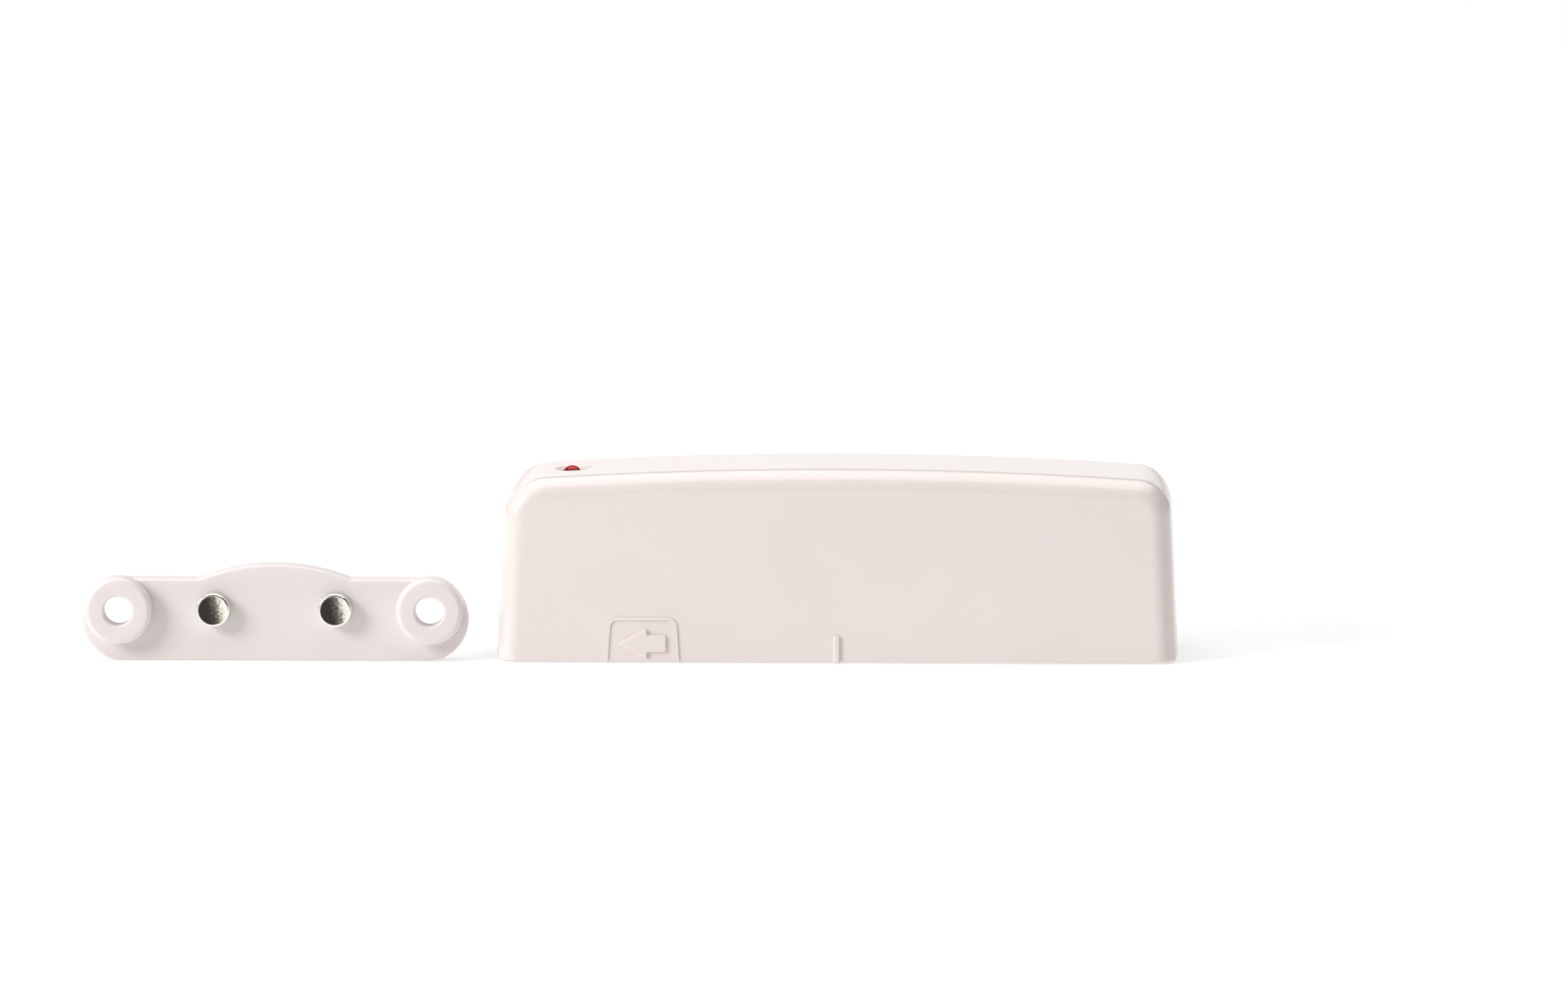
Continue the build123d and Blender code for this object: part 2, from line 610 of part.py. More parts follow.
with BuildPart() as control_chip:
    with BuildSketch(Plane.XY.offset(BOARD_TOP + CHIP_LIFT)):
        with Locations((CHIP_X, 0)):
            Rectangle(CHIP, CHIP)
    extrude(amount=CHIP_HIGH)
    chamfer(control_chip.edges().group_by(Axis.Z)[-1], length=CHIP_BEVEL)
    dot_x = CHIP_X - CHIP / 2 + CHIP_DOT_IN
    with Locations((dot_x, CHIP / 2 - CHIP_DOT_IN, BOARD_TOP + CHIP_LIFT + CHIP_HIGH)):
        Cylinder(CHIP_DOT_R, 2 * CHIP_DOT_DEEP, mode=Mode.SUBTRACT)
save(control_chip, "control_chip")

shoulder_z = CHIP_LIFT + PIN_SHOULDER
with BuildPart() as chip_pins:
    # every pin is a foot on the board, a riser, and a shoulder that enters the chip's side
    for turn in range(4):
        side_frame = Plane((CHIP_X, 0, BOARD_TOP)).rotated((0, 0, 90 * turn))
        for pin in range(PINS_PER_SIDE):
            pin_y = (pin - (PINS_PER_SIDE - 1) / 2) * PIN_PITCH
            pin_origin = side_frame.from_local_coords((0, pin_y - PIN_WIDTH / 2, 0))
            with BuildSketch(Plane(pin_origin, x_dir=side_frame.x_dir, z_dir=-side_frame.y_dir)):
                with BuildLine():
                    Polyline(
                        (CHIP / 2, shoulder_z),
                        (CHIP / 2, shoulder_z + PIN_THICK),
                        (CHIP / 2 + PIN_KNEE[0] + 0.1, shoulder_z + PIN_THICK),
                        (CHIP / 2 + PIN_KNEE[1], PIN_THICK),
                        (CHIP / 2 + PIN_OUT, PIN_THICK),
                        (CHIP / 2 + PIN_OUT, 0),
                        (CHIP / 2 + PIN_KNEE[1] - 0.1, 0),
                        (CHIP / 2 + PIN_KNEE[0], shoulder_z),
                        close=True,
                    )
                make_face()
            extrude(amount=-PIN_WIDTH)
save(chip_pins, "chip_pins")

# ---------------------------------------------------------------- radio module
RADIO_X = 24.0
RADIO_SIZE = (16.0, 13.5)
RADIO_BOARD = 0.8
SHIELD_SIZE = (12.0, 10.5)
SHIELD_HIGH = 1.9
SHIELD_SHEET = 0.2
SHIELD_LEFT = 1.2       # the shield sits this far left of the radio board's middle
SHIELD_CORNER = 0.5
SHIELD_ROUND = 0.3
SHIELD_HOLE_R = 0.5
SHIELD_HOLE_IN = 1.6
CASTLE_R = 0.35         # castellated solder edges
CASTLE_PITCH = 1.5
CASTLES = 9
shield_x = RADIO_X - SHIELD_LEFT

with BuildPart() as radio_board:
    with BuildSketch(Plane.XY.offset(BOARD_TOP)):
        with Locations((RADIO_X, 0)):
            Rectangle(RADIO_SIZE[0], RADIO_SIZE[1])
            with GridLocations(CASTLE_PITCH, RADIO_SIZE[1], CASTLES, 2):
                Circle(CASTLE_R, mode=Mode.SUBTRACT)
    extrude(amount=RADIO_BOARD)
save(radio_board, "radio_board")

with BuildPart() as radio_shield:
    with BuildSketch(Plane.XY.offset(BOARD_TOP + RADIO_BOARD)):
        with Locations((shield_x, 0)):
            RectangleRounded(SHIELD_SIZE[0], SHIELD_SIZE[1], radius=SHIELD_CORNER)
    extrude(amount=SHIELD_HIGH)
    fillet(radio_shield.edges().group_by(Axis.Z)[-1], radius=SHIELD_ROUND)
    offset(amount=-SHIELD_SHEET, openings=radio_shield.faces().sort_by(Axis.Z)[0])
    shield_top = BOARD_TOP + RADIO_BOARD + SHIELD_HIGH
    hole_x = shield_x - SHIELD_SIZE[0] / 2 + SHIELD_HOLE_IN
    with Locations((hole_x, SHIELD_SIZE[1] / 2 - SHIELD_HOLE_IN, shield_top)):
        Hole(SHIELD_HOLE_R, depth=2 * SHIELD_SHEET)
save(radio_shield, "radio_shield")

# ---------------------------------------------------------------- crystal and small chip parts
CRYSTAL = (-12.0, 4.0)
CRYSTAL_BASE = (11.0, 4.4, 0.4)
CRYSTAL_CAN = (10.2, 3.6, 2.6)
CRYSTAL_ROUND = 0.6
with BuildPart() as crystal:
    with BuildSketch(Plane.XY.offset(BOARD_TOP)):
        with Locations(CRYSTAL):
            SlotOverall(CRYSTAL_BASE[0], CRYSTAL_BASE[1])
    extrude(amount=CRYSTAL_BASE[2])
    with BuildSketch(Plane.XY.offset(BOARD_TOP + CRYSTAL_BASE[2])):
        with Locations(CRYSTAL):
            SlotOverall(CRYSTAL_CAN[0], CRYSTAL_CAN[1])
    extrude(amount=CRYSTAL_CAN[2])
    fillet(crystal.edges().group_by(Axis.Z)[-1], radius=CRYSTAL_ROUND)
save(crystal, "crystal")

CAPACITOR = (1.6, 0.8, 0.7)
RESISTOR = (1.6, 0.8, 0.5)
SMALL_BEVEL = 0.08
SMALL_PITCH = 2.4
SMALL_ROW = 4
CHIP_ROW_X, RADIO_ROW_X = -31.0, 3.0
row = [SMALL_PITCH * i for i in range(SMALL_ROW)]
capacitor_spots = [(CHIP_ROW_X + step, 6.2) for step in row] + [(RADIO_ROW_X + step, 5.5) for step in row]
resistor_spots = [(CHIP_ROW_X + step, -6.2) for step in row] + [(RADIO_ROW_X + step, 2.5) for step in row]

with BuildPart() as chip_capacitors:
    with Locations(*[(x, y, BOARD_TOP + CAPACITOR[2] / 2) for x, y in capacitor_spots]):
        Box(*CAPACITOR)
    chamfer(chip_capacitors.edges().group_by(Axis.Z)[-1], length=SMALL_BEVEL)
save(chip_capacitors, "chip_capacitors")

with BuildPart() as chip_resistors:
    with Locations(*[(x, y, BOARD_TOP + RESISTOR[2] / 2) for x, y in resistor_spots]):
        Box(*RESISTOR)
    chamfer(chip_resistors.edges().group_by(Axis.Z)[-1], length=SMALL_BEVEL)
save(chip_resistors, "chip_resistors")

RESERVOIR = (-14.6, -4.2)
RESERVOIR_R = 3.15
RESERVOIR_HIGH = 8.0
RESERVOIR_ROUND = 0.3
CRIMP_R = 0.25          # crimp above its rubber seal
CRIMP_UP = 1.4
with BuildPart() as reservoir_capacitor:
    with Locations((*RESERVOIR, BOARD_LOW - RESERVOIR_HIGH)):
        Cylinder(RESERVOIR_R, RESERVOIR_HIGH, align=(Align.CENTER, Align.CENTER, Align.MIN))
    fillet(reservoir_capacitor.edges().filter_by(GeomType.CIRCLE), radius=RESERVOIR_ROUND)
    with BuildSketch(Plane.XZ.offset(-RESERVOIR[1])):
        with Locations((RESERVOIR[0] + RESERVOIR_R, BOARD_LOW - CRIMP_UP)):
            Circle(CRIMP_R)
    revolve(axis=Axis((*RESERVOIR, 0), (0, 0, 1)), mode=Mode.SUBTRACT)
save(reservoir_capacitor, "reservoir_capacitor")

# ---------------------------------------------------------------- wound antenna, hanging from the board
ANTENNA_X, ANTENNA_Y = 42.0, 4.6
ANTENNA_WIRE_R = 0.35
ANTENNA_COIL_R = 2.2
ANTENNA_PITCH = 1.45
ANTENNA_TOP = BOARD_LOW - 2.0
ANTENNA_BOTTOM = 6.5
ANTENNA_POST_R = 0.55   # the post that the coil is soldered to, through the board
ANTENNA_POST_TOP = BOARD_TOP + 0.6
antenna_post_low = ANTENNA_TOP - 2 * ANTENNA_POST_R
antenna_post_length = ANTENNA_POST_TOP - antenna_post_low

with BuildPart() as antenna:
    with BuildLine():
        antenna_path = Helix(
            pitch=ANTENNA_PITCH,
            height=ANTENNA_TOP - ANTENNA_BOTTOM,
            radius=ANTENNA_COIL_R,
            center=(ANTENNA_X, ANTENNA_Y, ANTENNA_BOTTOM),
        )
    with BuildSketch(Plane(origin=antenna_path @ 0, z_dir=antenna_path % 0)):
        Circle(ANTENNA_WIRE_R)
    sweep(path=antenna_path)
    antenna_end = antenna_path @ 1
    with Locations((antenna_end.X, antenna_end.Y, antenna_post_low)):
        Cylinder(ANTENNA_POST_R, antenna_post_length, align=(Align.CENTER, Align.CENTER, Align.MIN))
save(antenna, "antenna")

# ---------------------------------------------------------------- tamper switch
BODY_CORNER = 0.35      # upright corners of both switch bodies
TAMPER_BODY = 6.2
TAMPER_STEM_R = 1.6
TAMPER_BORE_R = 1.68
TAMPER_COLLAR_R = 2.45
TAMPER_COLLAR_Z = 13.1
TAMPER_COLLAR = 0.8
TAMPER_WIRE_R = 0.18
TAMPER_COIL_R = 2.1
TAMPER_TURNS = 3.5
TAMPER_STEM = 5.8
TAMPER_ROOF = 0.6
PILL_R = 0.9            # recess on top of the plunger that holds its contact pill
PILL_DEEP = 0.2
SPRING_END_GAP = 0.02
tamper_body_low = BOARD_LOW - TAMPER_BODY_DEPTH

with BuildPart() as tamper_body:
    with BuildSketch(Plane.XY.offset(tamper_body_low)):
        with Locations((TAMPER_X, 0)):
            RectangleRounded(TAMPER_BODY, TAMPER_BODY, radius=BODY_CORNER)
    extrude(amount=TAMPER_BODY_DEPTH)
    with BuildSketch(Plane.XY.offset(tamper_body_low)):
        with Locations((TAMPER_X, 0)):
            Circle(TAMPER_BORE_R)
    extrude(amount=TAMPER_BODY_DEPTH - TAMPER_ROOF, mode=Mode.SUBTRACT)
save(tamper_body, "tamper_body")

with BuildPart() as tamper_plunger:
    with Locations((TAMPER_X, 0, TAMPER_COLLAR_Z)):
        Cylinder(TAMPER_COLLAR_R, TAMPER_COLLAR, align=(Align.CENTER, Align.CENTER, Align.MIN))
        Cylinder(TAMPER_STEM_R, TAMPER_STEM, align=(Align.CENTER, Align.CENTER, Align.MIN))
    with Locations((TAMPER_X, 0, TAMPER_TIP_Z + TAMPER_TIP_R)):
        Cylinder(TAMPER_TIP_R, TAMPER_TIP_R, align=(Align.CENTER, Align.CENTER, Align.MIN))
        Sphere(TAMPER_TIP_R)
    with Locations((TAMPER_X, 0, TAMPER_COLLAR_Z + TAMPER_STEM)):
        Cylinder(PILL_R, 2 * PILL_DEEP, mode=Mode.SUBTRACT)
save(tamper_plunger, "tamper_plunger")

spring_low = TAMPER_COLLAR_Z + TAMPER_COLLAR + TAMPER_WIRE_R + SPRING_END_GAP
spring_high = tamper_body_low - TAMPER_WIRE_R - SPRING_END_GAP
with BuildPart() as tamper_spring:
    with BuildLine():
        spring_path = Helix(
            pitch=(spring_high - spring_low) / TAMPER_TURNS,
            height=spring_high - spring_low,
            radius=TAMPER_COIL_R,
            center=(TAMPER_X, 0, spring_low),
        )
    with BuildSketch(Plane(origin=spring_path @ 0, z_dir=spring_path % 0)):
        Circle(TAMPER_WIRE_R)
    sweep(path=spring_path)
save(tamper_spring, "tamper_spring")

# ---------------------------------------------------------------- learn switch
LEARN_BODY = 6.0
LEARN_DEPTH = 3.4
LEARN_BUTTON_R = 1.7
LEARN_BUTTON_LENGTH = 3.6
LEARN_BUTTON_PROUD = 1.4
LEARN_BUTTON_ROUND = 0.25
LEARN_BORE_R = LEARN_BUTTON_R + 0.06
LEARN_ROOF = 0.8
STUD_PITCH = 4.4        # dimples over the four heat-staked studs
STUD_R = 0.4
STUD_DEEP = 0.4
learn_low = BOARD_LOW - LEARN_DEPTH

with BuildPart() as learn_body:
    with BuildSketch(Plane.XY.offset(learn_low)):
        with Locations((LEARN_X, LEARN_Y)):
            RectangleRounded(LEARN_BODY, LEARN_BODY, radius=BODY_CORNER)
    extrude(amount=LEARN_DEPTH)
    with BuildSketch(Plane.XY.offset(learn_low)):
        with Locations((LEARN_X, LEARN_Y)):
            with GridLocations(STUD_PITCH, STUD_PITCH, 2, 2):
                Circle(STUD_R)
    extrude(amount=STUD_DEEP, mode=Mode.SUBTRACT)
    with BuildSketch(Plane.XY.offset(learn_low)):
        with Locations((LEARN_X, LEARN_Y)):
            Circle(LEARN_BORE_R)
    extrude(amount=LEARN_DEPTH - LEARN_ROOF, mode=Mode.SUBTRACT)
save(learn_body, "learn_body")

with BuildPart() as learn_button:
    with Locations((LEARN_X, LEARN_Y, learn_low - LEARN_BUTTON_PROUD)):
        Cylinder(LEARN_BUTTON_R, LEARN_BUTTON_LENGTH, align=(Align.CENTER, Align.CENTER, Align.MIN))
    fillet(learn_button.edges().filter_by(GeomType.CIRCLE).group_by(Axis.Z)[0], radius=LEARN_BUTTON_ROUND)
save(learn_button, "learn_button")

# ---------------------------------------------------------------- main board
BOARD_CORNER = 1.5
BOARD_HOLE_ROOM = 0.15
with BuildPart() as main_board:
    with BuildSketch(Plane.XY.offset(BOARD_LOW)):
        RectangleRounded(BOARD_LENGTH, BOARD_WIDTH, radius=BOARD_CORNER)
        with Locations(*BOARD_SCREWS):
            Circle(SCREW_SHANK_R + BOARD_HOLE_ROOM, mode=Mode.SUBTRACT)
        with Locations((LIGHT_X - LEG_PITCH / 2, 0), (LIGHT_X + LEG_PITCH / 2, 0)):
            Circle(LEG * sqrt(0.5) + BOARD_HOLE_ROOM, mode=Mode.SUBTRACT)
        with Locations((-REED_LEG_X, REED_Y), (REED_LEG_X, REED_Y)):
            Circle(REED_LEG_R + BOARD_HOLE_ROOM, mode=Mode.SUBTRACT)
        with Locations((antenna_end.X, antenna_end.Y)):
            Circle(ANTENNA_POST_R + BOARD_HOLE_ROOM, mode=Mode.SUBTRACT)
        with Locations(*contact_tabs):
            Rectangle(CONTACT_THICK + SLOT_ROOM, CONTACT_WIDTH + SLOT_ROOM, mode=Mode.SUBTRACT)
    extrude(amount=BOARD_THICK)
save(main_board, "main_board")

# ---------------------------------------------------------------- magnet unit
# Its plane: x along the unit, y up, z straight out of its face towards -Y.
holder_plane = Plane(origin=(MAGNET_X, HOLDER_FACE_Y, 0), x_dir=(1, 0, 0), z_dir=(0, -1, 0))
HOLDER_TOP = 2 * HOLDER_END_R
FACE_ROUND = 0.5
BACK_ROUND = 1.2
BOSS_ROUND = 0.8
BOSS_BURIED = 1.0       # how deep a boss's own solid starts inside the plate
BOSS_SINK = 3.4
BOSS_HOLE_ROUND = 0.3
HUMP_ROUND = 0.8
DISC_ROUND = 0.35

with BuildPart() as magnet_holder:
    with BuildSketch(holder_plane.offset(-HOLDER_THICK)):
        with Locations((0, HOLDER_END_R)):
            SlotCenterToCenter(HOLDER_CENTRES, HOLDER_TOP)
        with BuildLine():
            half_chord = HOLDER_HUMP_CHORD / 2
            ThreePointArc((-half_chord, HOLDER_TOP), (0, HOLDER_TOP + HOLDER_HUMP), (half_chord, HOLDER_TOP))
            Polyline(
                (half_chord, HOLDER_TOP),
                (half_chord, HOLDER_END_R),
                (-half_chord, HOLDER_END_R),
                (-half_chord, HOLDER_TOP),
            )
        make_face()
        hump_ends = vertices().filter_by(lambda v: abs(abs(v.X) - half_chord) < 0.01)
        fillet(hump_ends, radius=HUMP_ROUND)
    extrude(amount=HOLDER_THICK)
    fillet(magnet_holder.faces().sort_by(Axis.Y)[0].edges(), radius=FACE_ROUND)
    fillet(magnet_holder.faces().sort_by(Axis.Y)[-1].edges(), radius=BACK_ROUND)
    for boss_side in (-1, 1):
        with BuildSketch(holder_plane.offset(-BOSS_BURIED)):
            with Locations((boss_side * BOSS_SPACING / 2, BOSS_Z)):
                Circle(BOSS_R)
        extrude(amount=BOSS_RISE + BOSS_BURIED)
    boss_rims = magnet_holder.faces().group_by(Axis.Y)[0].edges()
    fillet(boss_rims, radius=BOSS_ROUND)
    for boss_side in (-1, 1):
        with BuildSketch(holder_plane.offset(BOSS_RISE)):
            with Locations((boss_side * BOSS_SPACING / 2, BOSS_Z)):
                Circle(BOSS_HOLE_R)
        extrude(amount=-(BOSS_RISE + HOLDER_THICK), mode=Mode.SUBTRACT)
        with BuildSketch(holder_plane.offset(-HOLDER_THICK)):
            with Locations((boss_side * BOSS_SPACING / 2, BOSS_Z)):
                Circle(BOSS_SINK_R)
        extrude(amount=BOSS_SINK, mode=Mode.SUBTRACT)
    boss_edges = magnet_holder.faces().group_by(Axis.Y)[0].edges()
    hole_rims = boss_edges.filter_by(lambda e: e.radius < (BOSS_HOLE_R + BOSS_R) / 2)
    fillet(hole_rims, radius=BOSS_HOLE_ROUND)
    # blind sockets for the two magnets
    with BuildSketch(holder_plane):
        with Locations((-DISC_SPACING / 2, DISC_Z), (DISC_SPACING / 2, DISC_Z)):
            Circle(DISC_R)
    extrude(amount=-(DISC_LENGTH - DISC_RISE), mode=Mode.SUBTRACT)
save(magnet_holder, "magnet_holder")

for label, disc_side in (("magnet_left", -1), ("magnet_right", 1)):
    with BuildPart() as magnet:
        with BuildSketch(holder_plane.offset(DISC_RISE)):
            with Locations((disc_side * DISC_SPACING / 2, DISC_Z)):
                Circle(DISC_R)
        extrude(amount=-DISC_LENGTH)
        fillet(magnet.edges().filter_by(GeomType.CIRCLE), radius=DISC_ROUND)
    save(magnet, label)
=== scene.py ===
import math

import bpy
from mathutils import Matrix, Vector


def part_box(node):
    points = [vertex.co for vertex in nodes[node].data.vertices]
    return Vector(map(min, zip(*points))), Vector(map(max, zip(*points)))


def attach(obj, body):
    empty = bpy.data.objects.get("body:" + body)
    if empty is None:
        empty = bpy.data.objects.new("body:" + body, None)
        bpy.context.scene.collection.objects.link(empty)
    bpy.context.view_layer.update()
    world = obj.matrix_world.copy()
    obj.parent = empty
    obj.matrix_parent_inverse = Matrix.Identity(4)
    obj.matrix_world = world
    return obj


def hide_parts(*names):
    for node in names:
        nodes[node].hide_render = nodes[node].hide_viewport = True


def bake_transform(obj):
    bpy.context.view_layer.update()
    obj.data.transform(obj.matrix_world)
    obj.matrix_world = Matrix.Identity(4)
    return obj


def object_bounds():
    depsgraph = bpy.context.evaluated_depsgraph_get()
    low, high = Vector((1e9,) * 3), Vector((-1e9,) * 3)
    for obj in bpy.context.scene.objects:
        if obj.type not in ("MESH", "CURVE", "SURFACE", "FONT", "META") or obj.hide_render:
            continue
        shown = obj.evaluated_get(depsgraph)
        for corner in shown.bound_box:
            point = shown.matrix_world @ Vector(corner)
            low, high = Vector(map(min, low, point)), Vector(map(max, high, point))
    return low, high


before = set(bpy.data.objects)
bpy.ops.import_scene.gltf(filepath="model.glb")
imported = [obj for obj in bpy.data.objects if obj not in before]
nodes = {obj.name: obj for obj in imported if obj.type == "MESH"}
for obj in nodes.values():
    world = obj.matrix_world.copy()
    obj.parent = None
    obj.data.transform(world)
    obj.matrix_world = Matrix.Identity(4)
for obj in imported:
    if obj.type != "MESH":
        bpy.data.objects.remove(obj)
cad_low, cad_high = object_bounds()

# ---------------------------------------------------------------- sizes and places
MM = 0.001
MICRON = 0.000001
sensor_low, sensor_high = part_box("cover")
left_disc_low, left_disc_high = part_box("magnet_left")
right_disc_low, right_disc_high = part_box("magnet_right")
board_low, board_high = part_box("main_board")
sensor_middle_x = (sensor_low.x + sensor_high.x) / 2

VIEW_TILT = 8.2                  # degrees that the camera looks down
VIEW_TURN = 1.2                  # degrees that it stands to the right of the sensor's own normal
VIEW_DISTANCE = 1.6
VIEW_WIDTH = 232.5 * MM          # width of the view where the sensor stands
VIEW_LEFT = 8.0 * MM             # how far left of the sensor's middle the view is centred
VIEW_HEIGHT = 22.8 * MM          # height of the view's centre over the floor
CAMERA_BACK = 36.0               # width of the camera's back, mm

SKY = 0.11                       # strength of the even light from all round
OVERHEAD_POWER = 55.0            # watts, as for the two lights below
KEY_POWER = 18.0
BACK_POWER = 6.1
FLOOR_TONE = "#C6C6C6"
FLOOR_GLOW = 0.48
FLOOR_SIZE = 6.0
FLOOR_GAP = 0.02 * MM            # between the floor and the object's lowest face
LIGHTS_AIM = (-0.02, 0, 0.01)    # the point that the lights face

MERGE = 0.001 * MM               # points closer than this are one


# ---------------------------------------------------------------- materials
def linear(hex_code):
    """An sRGB hex colour as linear values."""
    channels = [int(hex_code[i:i + 2], 16) / 255 for i in (1, 3, 5)]
    return [c / 12.92 if c <= 0.04045 else ((c + 0.055) / 1.055) ** 2.4 for c in channels] + [1.0]


def new_material(name, **values):
    """A fresh node material with its shader's own values set; underscores stand for spaces."""
    material = bpy.data.materials.new(name)
    material.use_nodes = True
    shader = material.node_tree.nodes["Principled BSDF"]
    for key, value in values.items():
        shader.inputs[key.replace("_", " ")].default_value = value
    return material, shader


def node(tree, kind, settings=None, links=None):
    """Adds one node. Settings are its attributes or input sockets; links feed its inputs from other nodes."""
    made = tree.nodes.new(kind)
    for key, value in (settings or {}).items():
        if isinstance(key, str) and hasattr(made, key):
            setattr(made, key, value)
        else:
            made.inputs[key].default_value = value
    for key, source in (links or {}).items():
        tree.links.new(source, made.inputs[key])
    return made


def roughen(tree, shader, coords, grain_mm, depth_micron, detail=3.0):
    """A fine skin on the surface: its grains are given in millimetres and stand a few micrometres high. The
    marks on a polished skin are finer than these, which are drawn as coarse as they need to show."""
    grain = node(tree, "ShaderNodeTexNoise", {"Scale": 1 / (grain_mm * MM), "Detail": detail},
                 {"Vector": coords})
    bump = node(tree, "ShaderNodeBump", {"Strength": 1.0, "Distance": depth_micron * MICRON},
                {"Height": grain.outputs["Fac"]})
    tree.links.new(bump.outputs["Normal"], shader.inputs["Normal"])


def tint(tree, shader, factor, low_hex, high_hex, low=0.3, high=0.7):
    """Runs the body colour from one tone to another as a pattern goes from low to high."""
    ramp = node(tree, "ShaderNodeValToRGB", links={"Fac": factor})
    ends = ramp.color_ramp.elements
    ends[0].position, ends[0].color = low, linear(low_hex)
    ends[1].position, ends[1].color = high, linear(high_hex)
    tree.links.new(ramp.outputs["Color"], shader.inputs["Base Color"])


MOULD_FLOW = 16 * MM             # length over which a moulding's colour drifts


def moulded_plastic(name, colour, flow_colour, roughness, grain_mm, depth_micron, **values):
    """Injection-moulded plastic: one body colour that drifts a little with the flow in the mould, and the
    mould's own skin, which breaks up the edge of each reflection."""
    material, shader = new_material(name, Roughness=roughness, IOR=1.53, **values)
    tree = material.node_tree
    coords = node(tree, "ShaderNodeTexCoord").outputs["Object"]
    flow = node(tree, "ShaderNodeTexNoise", {"Scale": 1 / MOULD_FLOW, "Detail": 2.0}, {"Vector": coords})
    tint(tree, shader, flow.outputs["Fac"], flow_colour, colour)
    roughen(tree, shader, coords, grain_mm, depth_micron)
    return material


PLATE_PATCH = 2.5 * MM           # size of the duller patches in a plated skin
DULL_PATCH, BRIGHT_PATCH = 1.4, 0.7     # a patch's roughness, as a share of the metal's own


def plated_metal(name, colour, dull_colour, roughness, grain_mm, depth_micron):
    """Drawn or pressed metal with a plated skin: bright, with duller patches and a fine grain that
    softens the reflection."""
    material, shader = new_material(name, Metallic=1.0)
    tree = material.node_tree
    coords = node(tree, "ShaderNodeTexCoord").outputs["Object"]
    patches = node(tree, "ShaderNodeTexNoise", {"Scale": 1 / PLATE_PATCH, "Detail": 4.0}, {"Vector": coords})
    tint(tree, shader, patches.outputs["Fac"], dull_colour, colour, 0.35, 0.6)
    polish = node(tree, "ShaderNodeMapRange",
                  {"To Min": roughness * DULL_PATCH, "To Max": roughness * BRIGHT_PATCH},
                  {"Value": patches.outputs["Fac"]})
    tree.links.new(polish.outputs["Result"], shader.inputs["Roughness"])
    roughen(tree, shader, coords, grain_mm, depth_micron)
    return material


SPOT_SIZE = 0.42 * MM            # spots in the nickel: they vary its roughness and break up its painted reflection
PAINTED_HIGHLIGHT_SIDE = (0.93, 0, 0.2)      # the painted highlight lies to the right and a little up
PAINTED_HIGHLIGHT_BREAKUP = 1.3             # how far the spots break up the painted highlight's edge
PAINTED_HIGHLIGHT_SHIFT = -0.42
# Tones of the painted reflection on the face, from the dark mirror to the pale painted highlight.
PAINTED_REFLECTION_TONES = ((0.0, "#393634"), (0.28, "#5A5650"), (0.5, "#827C73"), (0.68, "#E2DCD1"), (0.92, "#FFFBF3"))
SPOT_ROUGH, SPOT_POLISHED = 0.42, 0.14  # roughness from the dullest spot to the brightest
RIM_TONE = "#F6F2EA"
RIM_FROM, RIM_TO = 0.82, 0.9     # where the face turns into the rolled rim, in radii


def nickel_disc(name, low, high):
    """Bright nickel plate on a pressed magnet: the flat face is a painted reflection, a dark spotted mirror
    with a painted pale highlight on one side, and its rolled rim is clean and bright."""
    material, shader = new_material(name, Metallic=1.0)
    tree = material.node_tree
    coords = node(tree, "ShaderNodeTexCoord").outputs["Object"]
    centre = (low + high) / 2
    # A point's distance from the disc's own middle, in radii, and the side of the face that it is on.
    local = node(tree, "ShaderNodeVectorMath", {"operation": "SUBTRACT", 1: centre}, {0: coords})
    radius = (high.x - low.x) / 2
    scaled = node(tree, "ShaderNodeVectorMath", {"operation": "MULTIPLY", 1: (1 / radius, 0, 1 / radius)},
                  {0: local.outputs["Vector"]})
    length = node(tree, "ShaderNodeVectorMath", {"operation": "LENGTH"}, {0: scaled.outputs["Vector"]})
    spots = node(tree, "ShaderNodeTexNoise", {"Scale": 1 / SPOT_SIZE, "Detail": 6.0, "Roughness": 0.75},
                 {"Vector": coords})
    lean = node(tree, "ShaderNodeVectorMath", {"operation": "DOT_PRODUCT", 1: PAINTED_HIGHLIGHT_SIDE},
                {0: scaled.outputs["Vector"]})
    painted_highlight_breakup = node(tree, "ShaderNodeMath", {"operation": "MULTIPLY_ADD", 1: PAINTED_HIGHLIGHT_BREAKUP, 2: PAINTED_HIGHLIGHT_SHIFT},
                 {0: spots.outputs["Fac"]})
    edge = node(tree, "ShaderNodeMath", {"operation": "ADD"},
                {0: lean.outputs["Value"], 1: painted_highlight_breakup.outputs["Value"]})
    # Painted reflection: the face's colour runs from dark to a pale painted highlight on one side.
    painted_reflection_tone = node(tree, "ShaderNodeValToRGB", links={"Fac": edge.outputs["Value"]})
    stops = painted_reflection_tone.color_ramp.elements
    stops[0].position, stops[1].position = PAINTED_REFLECTION_TONES[0][0], PAINTED_REFLECTION_TONES[-1][0]
    for position, _ in PAINTED_REFLECTION_TONES[1:-1]:
        stops.new(position)
    for stop, (_, tone) in zip(stops, PAINTED_REFLECTION_TONES):
        stop.color = linear(tone)
    rim = node(tree, "ShaderNodeMapRange", {"From Min": RIM_FROM, "From Max": RIM_TO},
               {"Value": length.outputs["Value"]})
    whole = node(tree, "ShaderNodeMix", {"data_type": "RGBA", 7: linear(RIM_TONE)},
                 {0: rim.outputs["Result"], 6: painted_reflection_tone.outputs["Color"]})
    tree.links.new(whole.outputs[2], shader.inputs["Base Color"])
    polish = node(tree, "ShaderNodeMapRange", {"To Min": SPOT_ROUGH, "To Max": SPOT_POLISHED},
                  {"Value": spots.outputs["Fac"]})
    tree.links.new(polish.outputs["Result"], shader.inputs["Roughness"])
    roughen(tree, shader, coords, 0.3, 3.0, detail=6.0)
    return material


TRACK_PITCH = 2.6 * MM
TRACK_HEIGHT = 30 * MICRON
TRACK_BAND = 0.11                # share of the pitch from one track to the next
TRACK_EDGE = (0.045, 0.06)       # where a track's side begins and ends, in the same shares


